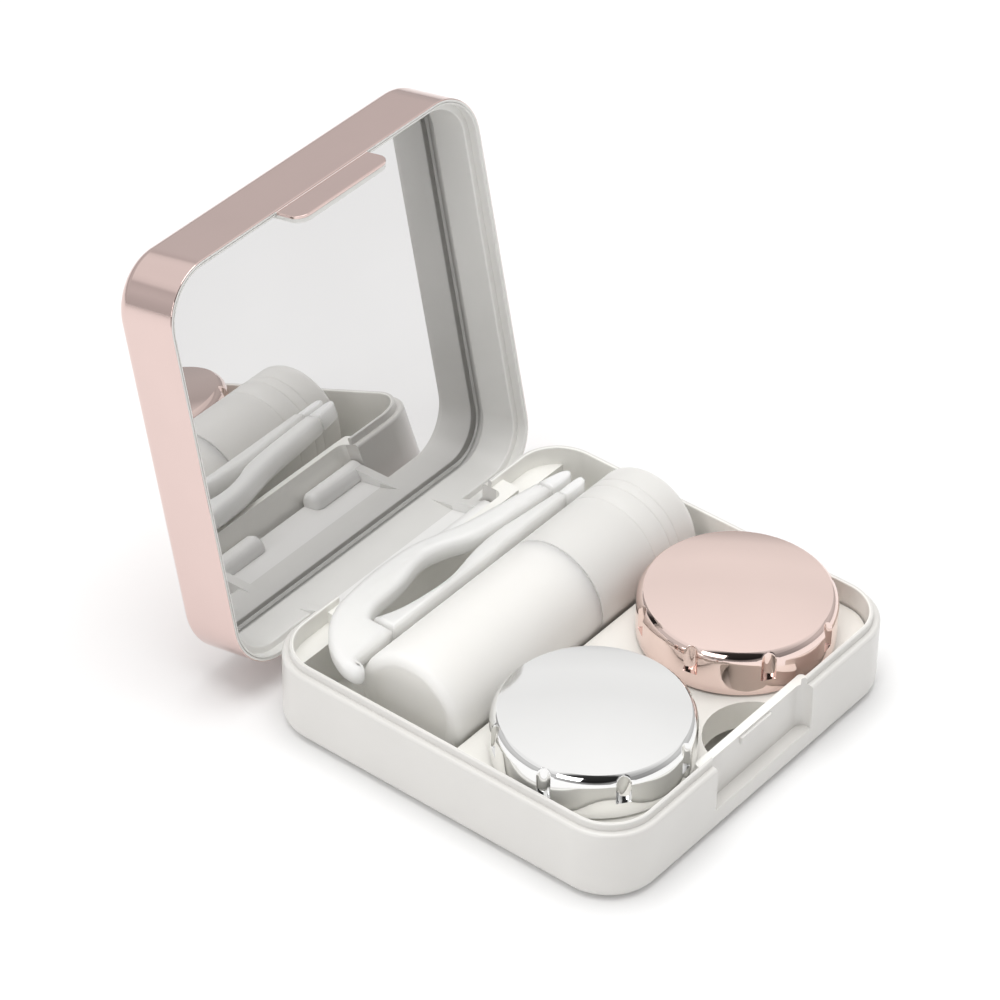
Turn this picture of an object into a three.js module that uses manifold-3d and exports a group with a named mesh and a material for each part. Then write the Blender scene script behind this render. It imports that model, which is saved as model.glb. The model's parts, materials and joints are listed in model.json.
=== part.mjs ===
// Contact lens case: a flat box with a mirrored lid on a rear hinge, which holds a twin-well lens case
// with two screw caps, a dropper bottle and a pair of tweezers.
// Millimetres, +Z up. The origin is the centre of the flat underside, -Y is the front (catch side).

import * as THREE from 'three';
import { mergeVertices } from 'three/addons/utils/BufferGeometryUtils.js';
import Module from 'manifold-3d';

const wasm = await Module();
wasm.setup();

// ---------------------------------------------------------------- driving dimensions
const HALF_X = 33;                 // case outline, half width
const HALF_Y = 32.2;               // case outline, half depth
const CORNER_R = 8.3;
const EDGE_R = 2;                  // rounding of the top and bottom edges
const CORNER_STEPS = 6;

// base tray
const LEDGE_Z = 11.95;             // level that the lid closes on
const LEDGE_R = 0.6;
const LIP_TOP_Z = 13.1;
const LIP_OUTER_INSET = 1.05;
const LIP_INNER_INSET = 1.7;       // inner face of the tray wall
const FLOOR_Z = 1.6;
const JOG_WALL = 1.3;              // wall around the front recess and the hinge notch
const RECESS_HALF_X = 11.1;
const RECESS_BACK_Y = -30.25;
const RECESS_FLOOR_Z = 4.4;
const CATCH_HALF_X = 3.5;
const CATCH_Z = 10.4;
const CATCH_HEIGHT = 1.1;
const CATCH_PROUD = 0.4;
const NOTCH_HALF_X = 17.2;
const NOTCH_FRONT_Y = 28.4;
const NOTCH_FLOOR_Z = 3.6;
const CHEEK = 2.6;                 // thickness of the two walls that hold the hinge pins
const REAR_LEDGE_Z = 10;
const REAR_LEDGE_Y = 27.4;

// hinge
const HINGE_Y = 30.6;
const HINGE_Z = 7.63;
const OPEN_DEG = 101.7;            // angle of the open lid, measured from closed
const PIN_R = 0.7;
const PIN_HALF_LENGTH = 2.7;
const PIN_MID_X = 16.5;
const PIN_GAP = 0.18;
const BARREL_R = 1.9;
const BARREL_IN_X = 5.8;
const BARREL_OUT_X = 16.8;

// lid, in the closed position
const RIM_Z = 12.1;
const LID_TOP_Z = 22.75;
const SHELL_WALL = 0.5;
const SHELL_BACK = 0.9;
const LINER_GAP = 0.06;
const REBATE_INSET = 0.85;
const REBATE_Z = 13.5;
const LINER_INSET = 1.9;
const LINER_TOP_Z = 18.9;
const TONGUE_HALF_X = 16.8;
const TONGUE_INNER_Y = 31;
const TONGUE_END_Z = 6.4;
const GUSSET = 1.5;
const GUSSET_END_Z = 16;
const WINDOW_END_Z = 17.6;
const MIRROR_INSET = 1.15;
const MIRROR_FACE_Z = 20.65;
const MIRROR_THICK = 0.75;
const MIRROR_BEVEL = 0.35;
const PAD_HALF = 27;
const PAD_THICK = 0.25;
const PAD_GAP = 0.1;
const TAB_HALF_X = 9.7;
const TAB_END_Z = 7.5;
const TAB_SET_BACK = 0.25;
const TAB_SKIN = 0.45;
const TAB_BACK = 0.65;

// lens case and its caps
const WELL_X = 16.53;
const WELL_Y = -14.85;
const PLATE_Z = 9.3;
const PLATE_THICK = 1.2;
const PLATE_REAR_Y = -0.1;
const PART_GAP = 0.3;
const NECK_R = 12.6;
const NECK_TOP_Z = 14.8;
const WELL_R = 11.2;
const WELL_FLOOR_Z = 3.2;
const WELL_BASE_Z = FLOOR_Z + PART_GAP;
const SCOOP_R = 7.5;
const SCOOP_Y = -30.5;
const SCOOP_END_Z = 4.6;
const CAP_R = 14.4;
const CAP_WALL = 1;
const CAP_BASE_Z = 9.6;
const CAP_SHOULDER_Z = 15.5;
const CAP_ROUND = 1.35;
const CAP_CROWN_Z = 17.5;
const CAP_CEILING_Z = 16.2;
const NOTCH_COUNT = 8;
const NOTCH_PHASE_DEG = 9.3;
const NOTCH_R = 1.25;
const NOTCH_LOW_Z = 12.2;
const THREAD_LEAD = 4;
const THREAD_R = 0.42;
const SEAL_R = 12.3;
const SEAL_THICK = 0.8;

// bottle, which lies along X
const BOTTLE_R = 8.85;
const BOTTLE_Y = 9.15;
const BOTTLE_Z = FLOOR_Z + PART_GAP + BOTTLE_R;
const BOTTLE_BASE_X = -27.5;
const BOTTLE_SEAM_X = 5;
const BOTTLE_END_X = 28;
const BOTTLE_WALL = 1;
const BOTTLE_NECK_R = 6.9;
const BOTTLE_NECK_X = 13;
const BOTTLE_LEAD = 2.2;
const NOZZLE_BORE = 1.3;

// tweezers, which lie flat behind the bottle
const TWEEZERS_LOW_Z = 12.3;
const TWEEZERS_THICK = 3.5;
const TIP_START_X = 19.2;

// ---------------------------------------------------------------- materials
const material = (color, roughness, metalness) => (
  new THREE.MeshStandardMaterial({ color, roughness, metalness })
);
const WHITE = '#e9e7e1';
const ROSE = '#d9b3a8';

// ---------------------------------------------------------------- solids
function toSolid(geometry) {
  const bare = geometry.clone();
  bare.deleteAttribute('normal');
  bare.deleteAttribute('uv');
  const merged = mergeVertices(bare, 1e-5);
  return new wasm.Manifold(new wasm.Mesh({
    numProp: 3,
    vertProperties: new Float32Array(merged.attributes.position.array),
    triVerts: new Uint32Array(merged.index.array),
  }));
}

function toGeometry(solid) {
  const mesh = solid.getMesh();
  const geometry = new THREE.BufferGeometry();
  geometry.setAttribute('position', new THREE.BufferAttribute(mesh.vertProperties, 3));
  geometry.setIndex(new THREE.BufferAttribute(mesh.triVerts, 1));
  geometry.computeVertexNormals();
  return geometry;
}

const join = (first, ...rest) => rest.reduce((sum, solid) => sum.add(solid), first);
const cut = (first, ...rest) => rest.reduce((sum, solid) => sum.subtract(solid), first);

// ---------------------------------------------------------------- outlines and basic bodies
function roundedRect(x0, x1, y0, y1, radius) {
  const shape = new THREE.Shape();
  shape.moveTo(x0 + radius, y0);
  shape.lineTo(x1 - radius, y0);
  shape.absarc(x1 - radius, y0 + radius, radius, -Math.PI / 2, 0);
  shape.lineTo(x1, y1 - radius);
  shape.absarc(x1 - radius, y1 - radius, radius, 0, Math.PI / 2);
  shape.lineTo(x0 + radius, y1);
  shape.absarc(x0 + radius, y1 - radius, radius, Math.PI / 2, Math.PI);
  shape.lineTo(x0, y0 + radius);
  shape.absarc(x0 + radius, y0 + radius, radius, Math.PI, Math.PI * 1.5);
  return shape;
}

const caseOutline = (inset) => roundedRect(
  -HALF_X + inset, HALF_X - inset, -HALF_Y + inset, HALF_Y - inset, CORNER_R - inset,
);

// A prism between two levels. Both of its ends are rounded by the same radius.
function prismGeometry(shape, z0, z1, round = 0, steps = 3, curveSegments = CORNER_STEPS) {
  const geometry = new THREE.ExtrudeGeometry(shape, {
    depth: z1 - z0 - 2 * round,
    curveSegments,
    bevelEnabled: round > 0,
    bevelSize: round,
    bevelOffset: -round,
    bevelThickness: round,
    bevelSegments: steps,
  });
  return geometry.translate(0, 0, z0 + round);
}

const prism = (...values) => toSolid(prismGeometry(...values));

function block(x0, x1, y0, y1, z0, z1) {
  const geometry = new THREE.BoxGeometry(x1 - x0, y1 - y0, z1 - z0);
  return toSolid(geometry.translate((x0 + x1) / 2, (y0 + y1) / 2, (z0 + z1) / 2));
}

// A body turned about Z from a closed profile of [radius, z] points.
function turnedGeometry(profile, segments) {
  const points = profile.map(([r, z]) => new THREE.Vector2(r, z));
  return new THREE.LatheGeometry(points, segments).rotateX(Math.PI / 2);
}

const turned = (profile, segments = 36) => toSolid(turnedGeometry(profile, segments));

function arcPoints(cx, cy, radius, fromDeg, toDeg, steps) {
  const points = [];
  for (let i = 0; i <= steps; i += 1) {
    const angle = THREE.MathUtils.degToRad(fromDeg + ((toDeg - fromDeg) * i) / steps);
    points.push([cx + radius * Math.cos(angle), cy + radius * Math.sin(angle)]);
  }
  return points;
}

// A cylinder along X.
function rodX(x0, x1, y, z, radius, segments = 20) {
  const geometry = new THREE.CylinderGeometry(radius, radius, x1 - x0, segments);
  return toSolid(geometry.rotateZ(Math.PI / 2).translate((x0 + x1) / 2, y, z));
}

class Helix extends THREE.Curve {
  constructor(radius, lead, turns, startZ, startDeg) {
    super();
    Object.assign(this, { radius, lead, turns, startZ, startDeg });
  }

  getPoint(t, target = new THREE.Vector3()) {
    const angle = THREE.MathUtils.degToRad(this.startDeg) + t * this.turns * 2 * Math.PI;
    const z = this.startZ + t * this.turns * this.lead;
    return target.set(this.radius * Math.cos(angle), this.radius * Math.sin(angle), z);
  }
}

// A right-handed thread ridge of square section, set on its edge.
function threadRidge(radius, lead, turns, startZ, startDeg, section = THREAD_R) {
  const square = new THREE.Shape();
  square.moveTo(section, 0);
  square.lineTo(0, section);
  square.lineTo(-section, 0);
  square.lineTo(0, -section);
  const geometry = new THREE.ExtrudeGeometry(square, {
    steps: Math.round(16 * turns),
    extrudePath: new Helix(radius, lead, turns, startZ, startDeg),
  });
  return toSolid(geometry);
}

// ---------------------------------------------------------------- scene graph helpers
const group = new THREE.Group();
group.name = 'contact_lens_case';

function addPiece(parent, name, solidOrGeometry, finish) {
  const isGeometry = solidOrGeometry instanceof THREE.BufferGeometry;
  const mesh = new THREE.Mesh(isGeometry ? solidOrGeometry : toGeometry(solidOrGeometry), finish);
  mesh.name = name;
  parent.add(mesh);
  return mesh;
}

// ---------------------------------------------------------------- base tray
function baseTray() {
  const high = LIP_TOP_Z + 5;
  const lower = prism(caseOutline(0), 0, high, EDGE_R, 3);
  const upper = prism(caseOutline(0), -5, LEDGE_Z, LEDGE_R, 2);
  const lip = prism(caseOutline(LIP_OUTER_INSET), FLOOR_Z, LIP_TOP_Z, 0.2, 1);
  const body = lower.intersect(upper).add(lip);

  const frontBlock = prism(roundedRect(
    -RECESS_HALF_X - JOG_WALL, RECESS_HALF_X + JOG_WALL, -HALF_Y, RECESS_BACK_Y + JOG_WALL, 1.2,
  ), 0, LEDGE_Z, 0);
  const rearBlock = prism(roundedRect(
    -NOTCH_HALF_X - CHEEK, NOTCH_HALF_X + CHEEK, NOTCH_FRONT_Y - JOG_WALL, HALF_Y, 1.2,
  ), 0, LEDGE_Z, 0);
  const rearLedge = block(-HALF_X, HALF_X, REAR_LEDGE_Y, HALF_Y, 0, REAR_LEDGE_Z);
  const hollow = prism(caseOutline(LIP_INNER_INSET), FLOOR_Z, high, 0.8, 1);
  const cavity = cut(hollow, frontBlock, rearBlock, rearLedge);

  const recess = prism(roundedRect(
    -RECESS_HALF_X, RECESS_HALF_X, -HALF_Y - 5, RECESS_BACK_Y, 1.5,
  ), RECESS_FLOOR_Z, high);
  const notch = prism(roundedRect(
    -NOTCH_HALF_X, NOTCH_HALF_X, NOTCH_FRONT_Y, HALF_Y + 5, 1.2,
  ), NOTCH_FLOOR_Z, high);
  const bores = [-1, 1].map((side) => rodX(
    side * PIN_MID_X - PIN_HALF_LENGTH - PIN_GAP,
    side * PIN_MID_X + PIN_HALF_LENGTH + PIN_GAP,
    HINGE_Y, HINGE_Z, PIN_R + PIN_GAP,
  ));
  const catchRidge = block(
    -CATCH_HALF_X, CATCH_HALF_X, RECESS_BACK_Y - CATCH_PROUD, RECESS_BACK_Y + 0.2,
    CATCH_Z, CATCH_Z + CATCH_HEIGHT,
  );
  return cut(body, cavity, recess, notch, ...bores).add(catchRidge);
}

const base = new THREE.Group();
group.add(base);
addPiece(base, 'base_tray', baseTray(), material(WHITE, 0.28, 0));

for (const [name, side] of [['hinge_pin_left', -1], ['hinge_pin_right', 1]]) {
  const pin = new THREE.CylinderGeometry(PIN_R, PIN_R, 2 * PIN_HALF_LENGTH, 20);
  const mesh = addPiece(base, name, pin.rotateZ(Math.PI / 2), material('#b9bcc0', 0.25, 1));
  mesh.position.set(side * PIN_MID_X, HINGE_Y, HINGE_Z);
}

// ---------------------------------------------------------------- lid
function lidShell() {
  const outer = prism(caseOutline(0), RIM_Z - 10, LID_TOP_Z, EDGE_R, 3);
  const inner = prism(caseOutline(SHELL_WALL), RIM_Z - 12, LID_TOP_Z - SHELL_BACK, 1.2, 2);
  const below = block(-40, 40, -40, 40, RIM_Z - 20, RIM_Z);
  const tabFront = -HALF_Y + TAB_SET_BACK;
  const tab = tabPlate(TAB_HALF_X, TAB_END_Z, tabFront, tabFront + TAB_SKIN, RIM_Z + 0.4);
  return cut(outer, inner, below).add(tab);
}

// The catch tab: a plate with two rounded lower corners, in the XZ plane between two Y levels.
function tabPlate(halfX, endZ, y0, y1, topZ) {
  const shape = roundedRect(-halfX, halfX, endZ, topZ + 4, 2);
  const geometry = prismGeometry(shape, 0, y1 - y0, 0).rotateX(Math.PI / 2).translate(0, y1, 0);
  return toSolid(geometry).intersect(block(-20, 20, -40, 0, 0, topZ));
}

function lidLiner() {
  const outerInset = SHELL_WALL + LINER_GAP;
  const ring = cut(
    prism(caseOutline(outerInset), RIM_Z, LINER_TOP_Z),
    prism(caseOutline(LINER_INSET), RIM_Z - 1, LINER_TOP_Z + 1),
    prism(caseOutline(REBATE_INSET), RIM_Z - 2, REBATE_Z),
    hingeWindow(),
  );
  const plate = block(
    -TONGUE_HALF_X, TONGUE_HALF_X, TONGUE_INNER_Y, HALF_Y - outerInset, TONGUE_END_Z, RIM_Z + 2,
  );
  const skin = block(
    -TONGUE_HALF_X, TONGUE_HALF_X, TONGUE_INNER_Y, HALF_Y, TONGUE_END_Z, RIM_Z - LINER_GAP,
  );
  const tabInner = -HALF_Y + TAB_SET_BACK + TAB_SKIN + LINER_GAP;
  const tabBack = tabPlate(TAB_HALF_X - 0.2, TAB_END_Z + 0.1, tabInner, tabInner + TAB_BACK, RIM_Z + 1.2);
  const flangeRelief = block(-TAB_HALF_X - 0.1, TAB_HALF_X + 0.1, -HALF_Y, tabInner, RIM_Z - 1, RIM_Z + 0.46);
  const sides = [-1, 1].flatMap((side) => [barrel(side), gusset(side)]);
  const bores = [-1, 1].map((side) => rodX(
    side * PIN_MID_X - PIN_HALF_LENGTH - PIN_GAP,
    side * PIN_MID_X + PIN_HALF_LENGTH + PIN_GAP,
    HINGE_Y, HINGE_Z, PIN_R + PIN_GAP,
  ));
  return cut(join(ring.subtract(flangeRelief), plate, skin, tabBack, ...sides), ...bores);
}

// The room between the two gussets, which runs out to nothing towards the mirror.
function hingeWindow() {
  const inner = HALF_Y - LINER_INSET;
  return wedgeX(-TONGUE_HALF_X + GUSSET, TONGUE_HALF_X - GUSSET, [
    [20, RIM_Z - 1], [TONGUE_INNER_Y, RIM_Z - 1], [TONGUE_INNER_Y, REBATE_Z], [inner, WINDOW_END_Z],
    [20, WINDOW_END_Z],
  ]);
}

// A prism along X of an outline of [y, z] points.
function wedgeX(x0, x1, points) {
  const shape = new THREE.Shape(points.map(([y, z]) => new THREE.Vector2(y, z)));
  const geometry = new THREE.ExtrudeGeometry(shape, { depth: x1 - x0, bevelEnabled: false });
  // Drawn in the XY plane: X becomes Y, Y becomes Z and the depth runs along X.
  geometry.rotateX(Math.PI / 2).rotateZ(Math.PI / 2).translate(x0, 0, 0);
  return toSolid(geometry);
}

// A hinge barrel with a cone on its inner end.
function barrel(side) {
  const length = BARREL_OUT_X - BARREL_IN_X;
  const profile = [[0, 0], [1.1, 0], [BARREL_R, 0.9], [BARREL_R, length], [0, length]];
  const geometry = turnedGeometry(profile, 24).rotateY(side * Math.PI / 2);
  return toSolid(geometry.translate(side * BARREL_IN_X, HINGE_Y, HINGE_Z));
}

// A wedge that runs from the barrel up the hinge wall of the lid.
function gusset(side) {
  const x0 = side > 0 ? TONGUE_HALF_X - GUSSET : -TONGUE_HALF_X;
  return wedgeX(x0, x0 + GUSSET, [
    [TONGUE_INNER_Y + 0.3, HINGE_Z],
    [TONGUE_INNER_Y + 0.3, GUSSET_END_Z],
    [HALF_Y - LINER_INSET, GUSSET_END_Z],
    [HINGE_Y - BARREL_R + 0.25, HINGE_Z + 0.6],
  ]);
}

const lid = new THREE.Group();
lid.position.set(0, HINGE_Y, HINGE_Z);
lid.rotation.x = THREE.MathUtils.degToRad(-OPEN_DEG);
group.add(lid);

const lidParts = new THREE.Group();
lidParts.position.set(0, -HINGE_Y, -HINGE_Z);
lid.add(lidParts);

addPiece(lidParts, 'lid_shell', lidShell(), material(ROSE, 0.22, 1));
addPiece(lidParts, 'lid_liner', lidLiner(), material(WHITE, 0.3, 0));

const mirrorBack = MIRROR_FACE_Z + MIRROR_THICK;
const mirrorBody = prism(caseOutline(MIRROR_INSET), MIRROR_FACE_Z, mirrorBack, MIRROR_BEVEL, 1);
addPiece(lidParts, 'mirror', mirrorBody, material('#f4f6f7', 0.02, 1));

const padLow = MIRROR_FACE_Z + MIRROR_THICK + PAD_GAP;
addPiece(lidParts, 'mirror_adhesive_pad', prismGeometry(
  roundedRect(-PAD_HALF, PAD_HALF, -PAD_HALF, PAD_HALF, 4), padLow, padLow + PAD_THICK, 0, 1, 4,
), material('#d8d8d2', 0.8, 0));

// ---------------------------------------------------------------- lens case
function lensCaseBody() {
  const gap = LIP_INNER_INSET + PART_GAP;
  const plate = prism(caseOutline(gap), PLATE_Z - PLATE_THICK, PLATE_Z).intersect(
    block(-HALF_X, HALF_X, -HALF_Y, PLATE_REAR_Y, 0, 20),
  );
  const skirt = new THREE.CylinderGeometry(SCOOP_R + 1, SCOOP_R + 1, PLATE_Z - SCOOP_END_Z - 0.1, 32);
  skirt.rotateX(Math.PI / 2).translate(0, SCOOP_Y, (PLATE_Z - 0.1 + SCOOP_END_Z) / 2);
  const scoop = new THREE.CylinderGeometry(SCOOP_R, SCOOP_R, 30, 32);
  scoop.rotateX(Math.PI / 2).translate(0, SCOOP_Y, 10);
  const recessBlock = block(
    -RECESS_HALF_X - JOG_WALL - PART_GAP, RECESS_HALF_X + JOG_WALL + PART_GAP,
    -HALF_Y - 10, RECESS_BACK_Y + JOG_WALL + PART_GAP, 0, 20,
  );
  const cups = [-1, 1].map((side) => join(
    turned([[0, WELL_BASE_Z], [9.5, WELL_BASE_Z], [NECK_R, 5], [NECK_R, NECK_TOP_Z], [0, NECK_TOP_Z]]),
    threadRidge(NECK_R, THREAD_LEAD, 1, 10.3, 0),
  ).translate([side * WELL_X, WELL_Y, 0]));
  const hollows = [-1, 1].map((side) => turned([
    [0, WELL_FLOOR_Z], [6, WELL_FLOOR_Z + 0.5], [9.4, WELL_FLOOR_Z + 2.2], [WELL_R, 8],
    [WELL_R, NECK_TOP_Z + 2], [0, NECK_TOP_Z + 2],
  ]).translate([side * WELL_X, WELL_Y, 0]));
  const carrier = cut(join(plate, toSolid(skirt)), toSolid(scoop), recessBlock);
  return cut(join(carrier, ...cups), ...hollows);
}

const lensCase = new THREE.Group();
group.add(lensCase);
addPiece(lensCase, 'lens_case_body', lensCaseBody(), material(WHITE, 0.35, 0));

// A screw cap: a plated cover with a domed top, grip notches and an internal thread.
function capCover() {
  const shoulder = arcPoints(CAP_R - CAP_ROUND, CAP_SHOULDER_Z, CAP_ROUND, 0, 75, 3);
  const [creaseR, creaseZ] = shoulder.at(-1);
  const crown = [0.7, 0.35].map((t) => [creaseR * t, CAP_CROWN_Z - (CAP_CROWN_Z - creaseZ) * t * t]);
  const cover = turned([
    [CAP_R - CAP_WALL, CAP_BASE_Z], [CAP_R, CAP_BASE_Z], ...shoulder, ...crown, [0, CAP_CROWN_Z],
    [0, CAP_CEILING_Z], [CAP_R - CAP_WALL, CAP_CEILING_Z], [CAP_R - CAP_WALL, CAP_BASE_Z],
  ], 48);
  const thread = threadRidge(CAP_R - CAP_WALL + 0.05, THREAD_LEAD, 1, 10.4, 180);
  return cut(join(cover, thread), ...gripNotches());
}

// Vertical scallops around the cap wall, each with a floor some way above the lower edge.
function gripNotches() {
  const notches = [];
  for (let i = 0; i < NOTCH_COUNT; i += 1) {
    const angle = THREE.MathUtils.degToRad(NOTCH_PHASE_DEG + (360 / NOTCH_COUNT) * i);
    const height = CAP_CROWN_Z - NOTCH_LOW_Z;
    const cylinder = new THREE.CylinderGeometry(NOTCH_R, NOTCH_R, height, 12);
    cylinder.rotateX(Math.PI / 2);
    const reach = CAP_R + 0.55;
    cylinder.translate(reach * Math.cos(angle), reach * Math.sin(angle), NOTCH_LOW_Z + height / 2);
    notches.push(toSolid(cylinder));
  }
  return notches;
}

const capSolid = capCover();
for (const [side, seal, cap, finish] of [
  [-1, 'left_cap_seal', 'left_cap_silver', material('#cfd0d2', 0.06, 1)],
  [1, 'right_cap_seal', 'right_cap_rose', material('#d8aea2', 0.08, 1)],
]) {
  const disc = new THREE.CylinderGeometry(SEAL_R, SEAL_R, SEAL_THICK, 32).rotateX(Math.PI / 2);
  const sealMesh = addPiece(lensCase, seal, disc, material('#dfe3e2', 0.6, 0));
  sealMesh.position.set(side * WELL_X, WELL_Y, NECK_TOP_Z + 0.3 + SEAL_THICK / 2);
  const capMesh = addPiece(lensCase, cap, capSolid, finish);
  capMesh.position.set(side * WELL_X, WELL_Y, 0);
}

// ---------------------------------------------------------------- bottle
// Each turned piece of the bottle is drawn along Z from the bottle's base and then laid along +X.
const bottle = new THREE.Group();
bottle.position.set(BOTTLE_BASE_X, BOTTLE_Y, BOTTLE_Z);
bottle.rotation.y = Math.PI / 2;
group.add(bottle);

const along = (x) => x - BOTTLE_BASE_X;
const innerR = BOTTLE_R - BOTTLE_WALL;
const shoulderAt = along(BOTTLE_SEAM_X);
const neckEnd = along(BOTTLE_NECK_X);

function bottleBody() {
  const shell = turned([
    [0, 0.5], [BOTTLE_R - 2.6, 0.5], [BOTTLE_R - 1.6, 0],
    ...arcPoints(BOTTLE_R - 1.2, 1.2, 1.2, -60, 0, 2),
    [BOTTLE_R, shoulderAt - 0.4], [BOTTLE_R - 0.4, shoulderAt], [BOTTLE_NECK_R, shoulderAt + 0.2],
    [BOTTLE_NECK_R, neckEnd], [BOTTLE_NECK_R - BOTTLE_WALL, neckEnd],
    [BOTTLE_NECK_R - BOTTLE_WALL, shoulderAt], [innerR, shoulderAt - 1.6], [innerR, 2.2],
    [innerR - 1, 1.4], [0, 1.4],
  ], 36);
  return shell.add(threadRidge(BOTTLE_NECK_R, BOTTLE_LEAD, 2, shoulderAt + 2.2, 0, 0.36));
}

function bottleCap() {
  const end = along(BOTTLE_END_X);
  const bore = BOTTLE_R - 1.2;
  const shell = turned([
    [bore, shoulderAt + 0.5], [BOTTLE_R - 0.3, shoulderAt + 0.5], [BOTTLE_R, shoulderAt + 0.8],
    ...arcPoints(BOTTLE_R - 1.5, end - 1.5, 1.5, 0, 75, 3),
    [0, end], [0, end - 1.2], [bore, end - 1.2],
    [bore, shoulderAt + 0.5],
  ], 36);
  return shell.add(threadRidge(bore + 0.05, BOTTLE_LEAD, 2, shoulderAt + 1.1 + 2.2, 0, 0.36));
}

function dropperPlug() {
  const low = neckEnd - 5.5;
  const flange = neckEnd + PART_GAP;
  const plugR = BOTTLE_NECK_R - BOTTLE_WALL - 0.15;
  return turned([
    [4, low], [plugR, low], [plugR, flange], [BOTTLE_NECK_R - 0.2, flange],
    [BOTTLE_NECK_R - 0.2, flange + 0.8], [3.4, flange + 0.8], [2.6, flange + 3.6],
    [2, flange + 6.2], [NOZZLE_BORE, flange + 6.2], [NOZZLE_BORE, flange + 1], [4, low],
  ], 24);
}

function bottleCapSeal() {
  const low = neckEnd + PART_GAP + 0.8 + PART_GAP;
  return turned([
    [3.5, low], [BOTTLE_R - 1.6, low], [BOTTLE_R - 1.6, low + 1], [3.5, low + 1], [3.5, low],
  ], 24);
}

const frosted = () => material('#e6e7e2', 0.45, 0);
addPiece(bottle, 'bottle_body', bottleBody(), frosted());
addPiece(bottle, 'bottle_dropper_plug', dropperPlug(), material('#eef0ee', 0.4, 0));
addPiece(bottle, 'bottle_cap_seal', bottleCapSeal(), material('#dfe3e2', 0.6, 0));
addPiece(bottle, 'bottle_cap', bottleCap(), frosted());

// ---------------------------------------------------------------- tweezers
// Outlines in the XY plane: smooth curves through a few hand-placed points.
function outline(start, ...runs) {
  const shape = new THREE.Shape();
  shape.moveTo(...start);
  for (const run of runs) {
    if (run.length === 1) {
      shape.lineTo(...run[0]);
    } else {
      shape.splineThru(run.map(([x, y]) => new THREE.Vector2(x, y)));
    }
  }
  return shape;
}

const flatPiece = (shape, inset = 0) => prismGeometry(
  shape, TWEEZERS_LOW_Z + inset, TWEEZERS_LOW_Z + TWEEZERS_THICK - inset, 0, 1, 4,
);

const rearArmAndBow = outline(
  [TIP_START_X, 20.9],
  [[TIP_START_X, 23.5]],
  [[13.4, 24.5], [8.1, 25.3], [4.5, 26], [0, 27.4], [-4, 28.5], [-9.6, 28.9], [-14.8, 28.7], [-20.7, 27.9]],
  [[-24.9, 25.9], [-28, 22.9], [-29.8, 19.6], [-30.1, 17], [-29.2, 15.9], [-28.3, 16.5], [-27.8, 18.3]],
  [[-20, 18.3]],
  [[-20, 22.3]],
  [[-17.5, 23.5], [-11, 24.1], [-5, 25.2], [-0.7, 24.3], [3.4, 22.5], [9.8, 21.5], [TIP_START_X, 20.9]],
);
const frontArm = outline(
  [-19.7, 18.3],
  [[TIP_START_X, 18.3]],
  [[TIP_START_X, 19.8]],
  [[12, 20.4], [6.4, 20.9], [1, 20.6], [-5.5, 19.5], [-11, 19.7], [-16, 20.5], [-19.7, 21.9]],
);
const rearTip = outline(
  [TIP_START_X + 0.3, 20.9],
  [[23.2, 20.9]],
  [[24.3, 21.5], [23.3, 22.5]],
  [[TIP_START_X + 0.3, 23.4]],
);
const frontTip = outline(
  [TIP_START_X + 0.3, 18.3],
  [[23.4, 18.3]],
  [[24.2, 19], [23.6, 19.7]],
  [[TIP_START_X + 0.3, 19.8]],
);
const milky = () => material('#e8e6de', 0.4, 0);
const clear = () => material('#eeece4', 0.3, 0);
const tweezers = new THREE.Group();
group.add(tweezers);
addPiece(tweezers, 'tweezers_rear_arm', flatPiece(rearArmAndBow), milky());
addPiece(tweezers, 'tweezers_front_arm', flatPiece(frontArm), milky());
addPiece(tweezers, 'tweezers_rear_tip', flatPiece(rearTip, 0.3), clear());
addPiece(tweezers, 'tweezers_front_tip', flatPiece(frontTip, 0.3), clear());

export default group;
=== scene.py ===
"""Looks of the contact lens case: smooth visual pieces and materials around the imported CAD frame.

Metres, +Z up, the same frame as the CAD. Outlines are written in millimetres and scaled by MM.
"""

import json
import math

import bmesh
import bpy
from mathutils import Matrix, Vector


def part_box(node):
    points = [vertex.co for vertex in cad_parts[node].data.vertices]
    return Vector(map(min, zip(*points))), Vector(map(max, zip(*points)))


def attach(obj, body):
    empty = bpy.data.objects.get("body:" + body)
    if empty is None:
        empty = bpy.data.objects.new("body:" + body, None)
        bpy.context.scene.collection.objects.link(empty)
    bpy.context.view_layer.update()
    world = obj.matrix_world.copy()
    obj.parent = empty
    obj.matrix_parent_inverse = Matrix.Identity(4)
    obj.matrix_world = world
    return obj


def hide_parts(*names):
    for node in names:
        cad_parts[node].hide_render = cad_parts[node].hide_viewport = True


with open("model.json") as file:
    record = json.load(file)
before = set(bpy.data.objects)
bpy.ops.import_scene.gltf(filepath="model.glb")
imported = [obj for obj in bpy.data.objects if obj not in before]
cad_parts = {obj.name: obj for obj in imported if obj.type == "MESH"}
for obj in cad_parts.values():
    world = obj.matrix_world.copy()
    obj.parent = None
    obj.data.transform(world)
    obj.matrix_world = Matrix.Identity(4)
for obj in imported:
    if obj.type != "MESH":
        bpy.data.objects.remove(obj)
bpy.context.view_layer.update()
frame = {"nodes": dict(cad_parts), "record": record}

MM = 0.001

# ---------------------------------------------------------------- places, from the frame (mm)


def box_mm(node):
    """The low and high corners of a CAD node's box, in mm."""
    low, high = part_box(node)
    return [v / MM for v in low], [v / MM for v in high]


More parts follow.
